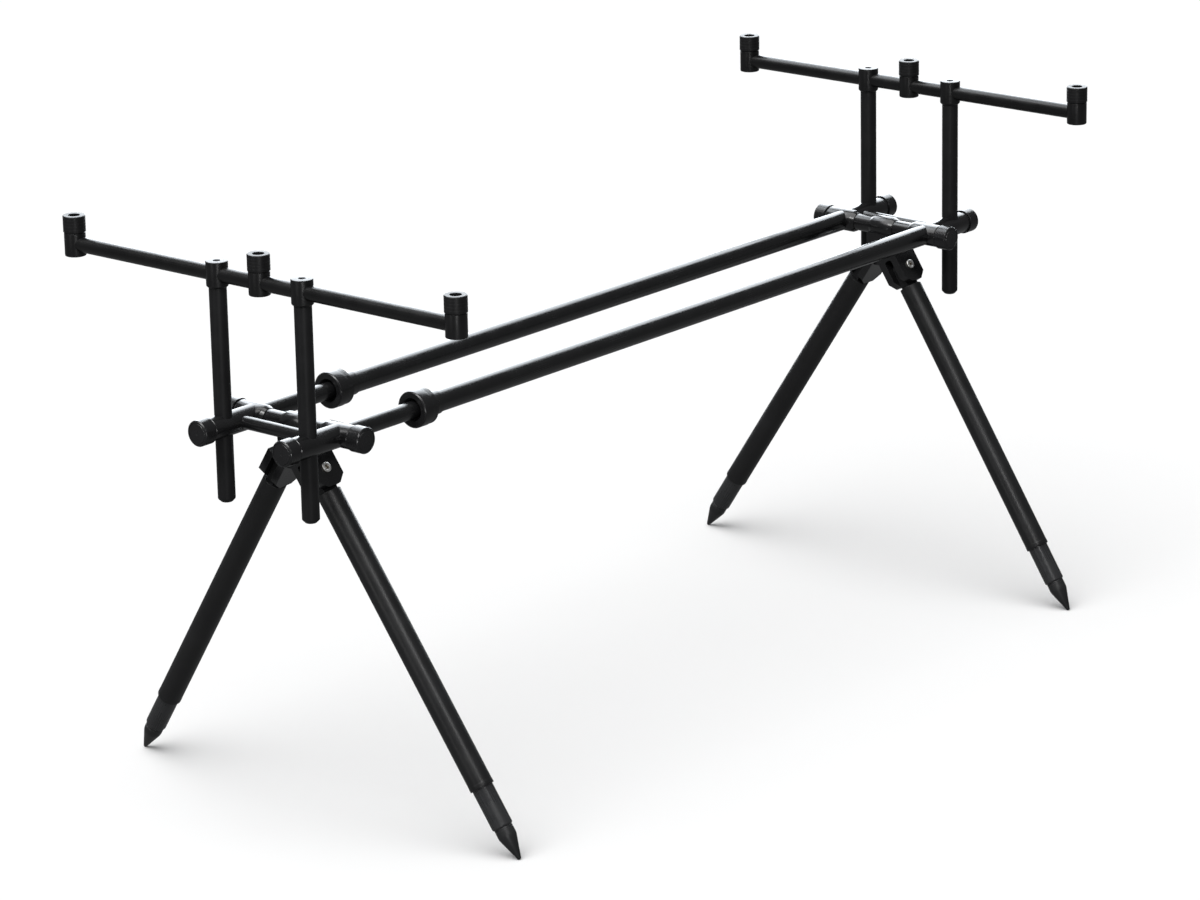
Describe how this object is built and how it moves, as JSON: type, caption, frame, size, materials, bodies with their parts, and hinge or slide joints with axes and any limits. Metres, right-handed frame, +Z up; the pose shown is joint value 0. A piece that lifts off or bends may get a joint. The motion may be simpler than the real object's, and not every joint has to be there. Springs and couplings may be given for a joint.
{
  "type": "rod pod",
  "caption": "Free-standing fishing rod pod with telescoping side bars, height-set goals that take screw-in bite alarms, and folding, spiked, telescopic legs.",
  "frame": {"origin": "on the ground, under the middle of the pod, with the legs open as in use", "axes": "+X across the pod to the right, +Y along it from the front goal to the rear goal, +Z up"},
  "size_m": [0.4805, 1.0136, 0.5278],
  "materials": {
    "satin_black": "satin black anodised",
    "gloss_black": "gloss black anodised",
    "knurled_black": "knurled, black anodised",
    "grey_tube": "satin grey anodised",
    "grey_spike": "turned dark grey",
    "stainless": "bright stainless",
    "nylon": "matte nylon"
  },
  "bodies": {
    "rear_frame": {"rear_tees": "gloss_black", "rear_stiffener": "satin_black", "side_outer_tubes": "gloss_black", "side_ferrules": "satin_black", "side_collets": "nylon"},
    "front_frame": {"front_tees": "gloss_black", "front_stiffener": "satin_black", "side_inner_tubes": "gloss_black"},
    "left_collar_nut": {"left_collar_nut": "knurled_black"},
    "right_collar_nut": {"right_collar_nut": "knurled_black"},
    "front_goal": {"front_bar_tubes": "satin_black", "front_bosses": "satin_black", "front_post_heads": "satin_black", "front_posts": "satin_black", "front_head_screws": "satin_black"},
    "front_left_lock_collar": {"front_left_lock_collar": "knurled_black"},
    "front_middle_lock_collar": {"front_middle_lock_collar": "knurled_black"},
    "front_right_lock_collar": {"front_right_lock_collar": "knurled_black"},
    "front_left_post_knob": {"front_left_post_knob": "knurled_black"},
    "front_right_post_knob": {"front_right_post_knob": "knurled_black"},
    "front_leg_yoke": {"front_axle": "gloss_black", "front_yoke": "gloss_black", "front_leg_screws": "stainless"},
    "front_left_axle_knob": {"front_left_axle_knob": "knurled_black"},
    "front_right_axle_knob": {"front_right_axle_knob": "knurled_black"},
    "front_left_leg": {"front_left_leg_head": "satin_black", "front_left_leg_tube": "satin_black"},
    "front_left_leg_extension": {"front_left_inner_leg": "grey_tube", "front_left_lock_bush": "nylon", "front_left_spike": "grey_spike"},
    "front_right_leg": {"front_right_leg_head": "satin_black", "front_right_leg_tube": "satin_black"},
    "front_right_leg_extension": {"front_right_inner_leg": "grey_tube", "front_right_lock_bush": "nylon", "front_right_spike": "grey_spike"},
    "rear_goal": {"rear_bar_tubes": "satin_black", "rear_bosses": "satin_black", "rear_post_heads": "satin_black", "rear_posts": "satin_black", "rear_head_screws": "satin_black"},
    "rear_left_lock_collar": {"rear_left_lock_collar": "knurled_black"},
    "rear_middle_lock_collar": {"rear_middle_lock_collar": "knurled_black"},
    "rear_right_lock_collar": {"rear_right_lock_collar": "knurled_black"},
    "rear_left_post_knob": {"rear_left_post_knob": "knurled_black"},
    "rear_right_post_knob": {"rear_right_post_knob": "knurled_black"},
    "rear_leg_yoke": {"rear_axle": "gloss_black", "rear_yoke": "gloss_black", "rear_leg_screws": "stainless"},
    "rear_left_axle_knob": {"rear_left_axle_knob": "knurled_black"},
    "rear_right_axle_knob": {"rear_right_axle_knob": "knurled_black"},
    "rear_left_leg": {"rear_left_leg_head": "satin_black", "rear_left_leg_tube": "satin_black"},
    "rear_left_leg_extension": {"rear_left_inner_leg": "grey_tube", "rear_left_lock_bush": "nylon", "rear_left_spike": "grey_spike"},
    "rear_right_leg": {"rear_right_leg_head": "satin_black", "rear_right_leg_tube": "satin_black"},
    "rear_right_leg_extension": {"rear_right_inner_leg": "grey_tube", "rear_right_lock_bush": "nylon", "rear_right_spike": "grey_spike"}
  },
  "joints": [
    {"name": "side_bar_telescope", "type": "slide", "parent": "rear_frame", "child": "front_frame", "axis": [0, -1, 0], "range_m": [-0.08, 0.33]},
    {"name": "left_collar_nut_turn", "type": "hinge", "parent": "rear_frame", "child": "left_collar_nut", "pos_m": [-0.0515, -0.338, 0.3625], "axis": [0, 1, 0], "range_deg": [-360, 0]},
    {"name": "right_collar_nut_turn", "type": "hinge", "parent": "rear_frame", "child": "right_collar_nut", "pos_m": [0.0515, -0.338, 0.3625], "axis": [0, 1, 0], "range_deg": [-360, 0]},
    {"name": "front_goal_height", "type": "slide", "parent": "front_frame", "child": "front_goal", "axis": [0, 0, 1], "range_m": [-0.115, 0.055]},
    {"name": "front_left_lock_collar_turn", "type": "hinge", "parent": "front_goal", "child": "front_left_lock_collar", "pos_m": [-0.23, -0.473, 0.5125], "axis": [0, 0, 1], "range_deg": [-360, 0]},
    {"name": "front_middle_lock_collar_turn", "type": "hinge", "parent": "front_goal", "child": "front_middle_lock_collar", "pos_m": [0, -0.473, 0.5125], "axis": [0, 0, 1], "range_deg": [-360, 0]},
    {"name": "front_right_lock_collar_turn", "type": "hinge", "parent": "front_goal", "child": "front_right_lock_collar", "pos_m": [0.23, -0.473, 0.5125], "axis": [0, 0, 1], "range_deg": [-360, 0]},
    {"name": "front_left_post_knob_turn", "type": "hinge", "parent": "front_frame", "child": "front_left_post_knob", "pos_m": [-0.0515, -0.473, 0.3625], "axis": [0, 1, 0], "range_deg": [-360, 0]},
    {"name": "front_right_post_knob_turn", "type": "hinge", "parent": "front_frame", "child": "front_right_post_knob", "pos_m": [0.0515, -0.473, 0.3625], "axis": [0, 1, 0], "range_deg": [-360, 0]},
    {"name": "front_yoke_swivel", "type": "hinge", "parent": "front_frame", "child": "front_leg_yoke", "pos_m": [0, -0.4325, 0.3625], "axis": [-1, 0, 0], "range_deg": [-45, 12]},
    {"name": "front_left_axle_knob_turn", "type": "hinge", "parent": "front_leg_yoke", "child": "front_left_axle_knob", "pos_m": [-0.069, -0.4325, 0.3625], "axis": [1, 0, 0], "range_deg": [-360, 0]},
    {"name": "front_right_axle_knob_turn", "type": "hinge", "parent": "front_leg_yoke", "child": "front_right_axle_knob", "pos_m": [0.069, -0.4325, 0.3625], "axis": [-1, 0, 0], "range_deg": [-360, 0]},
    {"name": "front_left_leg_fold", "type": "hinge", "parent": "front_leg_yoke", "child": "front_left_leg", "pos_m": [-0.0215, -0.43043, 0.32165], "axis": [-0.8348, -0.0279, 0.5498], "range_deg": [-90, 0]},
    {"name": "front_left_leg_extend", "type": "slide", "parent": "front_left_leg", "child": "front_left_leg_extension", "axis": [-0.5505, 0.0422, -0.8338], "range_m": [-0.038, 0.15]},
    {"name": "front_right_leg_fold", "type": "hinge", "parent": "front_leg_yoke", "child": "front_right_leg", "pos_m": [0.0215, -0.43043, 0.32165], "axis": [-0.8348, 0.0279, -0.5498], "range_deg": [-90, 0]},
    {"name": "front_right_leg_extend", "type": "slide", "parent": "front_right_leg", "child": "front_right_leg_extension", "axis": [0.5505, 0.0422, -0.8338], "range_m": [-0.038, 0.15]},
    {"name": "rear_goal_height", "type": "slide", "parent": "rear_frame", "child": "rear_goal", "axis": [0, 0, 1], "range_m": [-0.115, 0.055]},
    {"name": "rear_left_lock_collar_turn", "type": "hinge", "parent": "rear_goal", "child": "rear_left_lock_collar", "pos_m": [-0.206, 0.473, 0.5125], "axis": [0, 0, 1], "range_deg": [-360, 0]},
    {"name": "rear_middle_lock_collar_turn", "type": "hinge", "parent": "rear_goal", "child": "rear_middle_lock_collar", "pos_m": [0, 0.473, 0.5125], "axis": [0, 0, 1], "range_deg": [-360, 0]},
    {"name": "rear_right_lock_collar_turn", "type": "hinge", "parent": "rear_goal", "child": "rear_right_lock_collar", "pos_m": [0.206, 0.473, 0.5125], "axis": [0, 0, 1], "range_deg": [-360, 0]},
    {"name": "rear_left_post_knob_turn", "type": "hinge", "parent": "rear_frame", "child": "rear_left_post_knob", "pos_m": [-0.0515, 0.473, 0.3625], "axis": [0, -1, 0], "range_deg": [-360, 0]},
    {"name": "rear_right_post_knob_turn", "type": "hinge", "parent": "rear_frame", "child": "rear_right_post_knob", "pos_m": [0.0515, 0.473, 0.3625], "axis": [0, -1, 0], "range_deg": [-360, 0]},
    {"name": "rear_yoke_swivel", "type": "hinge", "parent": "rear_frame", "child": "rear_leg_yoke", "pos_m": [0, 0.4325, 0.3625], "axis": [1, 0, 0], "range_deg": [-45, 12]},
    {"name": "rear_left_axle_knob_turn", "type": "hinge", "parent": "rear_leg_yoke", "child": "rear_left_axle_knob", "pos_m": [-0.069, 0.4325, 0.3625], "axis": [1, 0, 0], "range_deg": [-360, 0]},
    {"name": "rear_right_axle_knob_turn", "type": "hinge", "parent": "rear_leg_yoke", "child": "rear_right_axle_knob", "pos_m": [0.069, 0.4325, 0.3625], "axis": [-1, 0, 0], "range_deg": [-360, 0]},
    {"name": "rear_left_leg_fold", "type": "hinge", "parent": "rear_leg_yoke", "child": "rear_left_leg", "pos_m": [-0.0215, 0.432, 0.3216], "axis": [0.8348, -0.0067, -0.5504], "range_deg": [-90, 0]},
    {"name": "rear_left_leg_extend", "type": "slide", "parent": "rear_left_leg", "child": "rear_left_leg_extension", "axis": [-0.5505, -0.0102, -0.8348], "range_m": [-0.038, 0.15]},
    {"name": "rear_right_leg_fold", "type": "hinge", "parent": "rear_leg_yoke", "child": "rear_right_leg", "pos_m": [0.0215, 0.432, 0.3216], "axis": [0.8348, 0.0067, 0.5504], "range_deg": [-90, 0]},
    {"name": "rear_right_leg_extend", "type": "slide", "parent": "rear_right_leg", "child": "rear_right_leg_extension", "axis": [0.5505, -0.0102, -0.8348], "range_m": [-0.038, 0.15]}
  ]
}
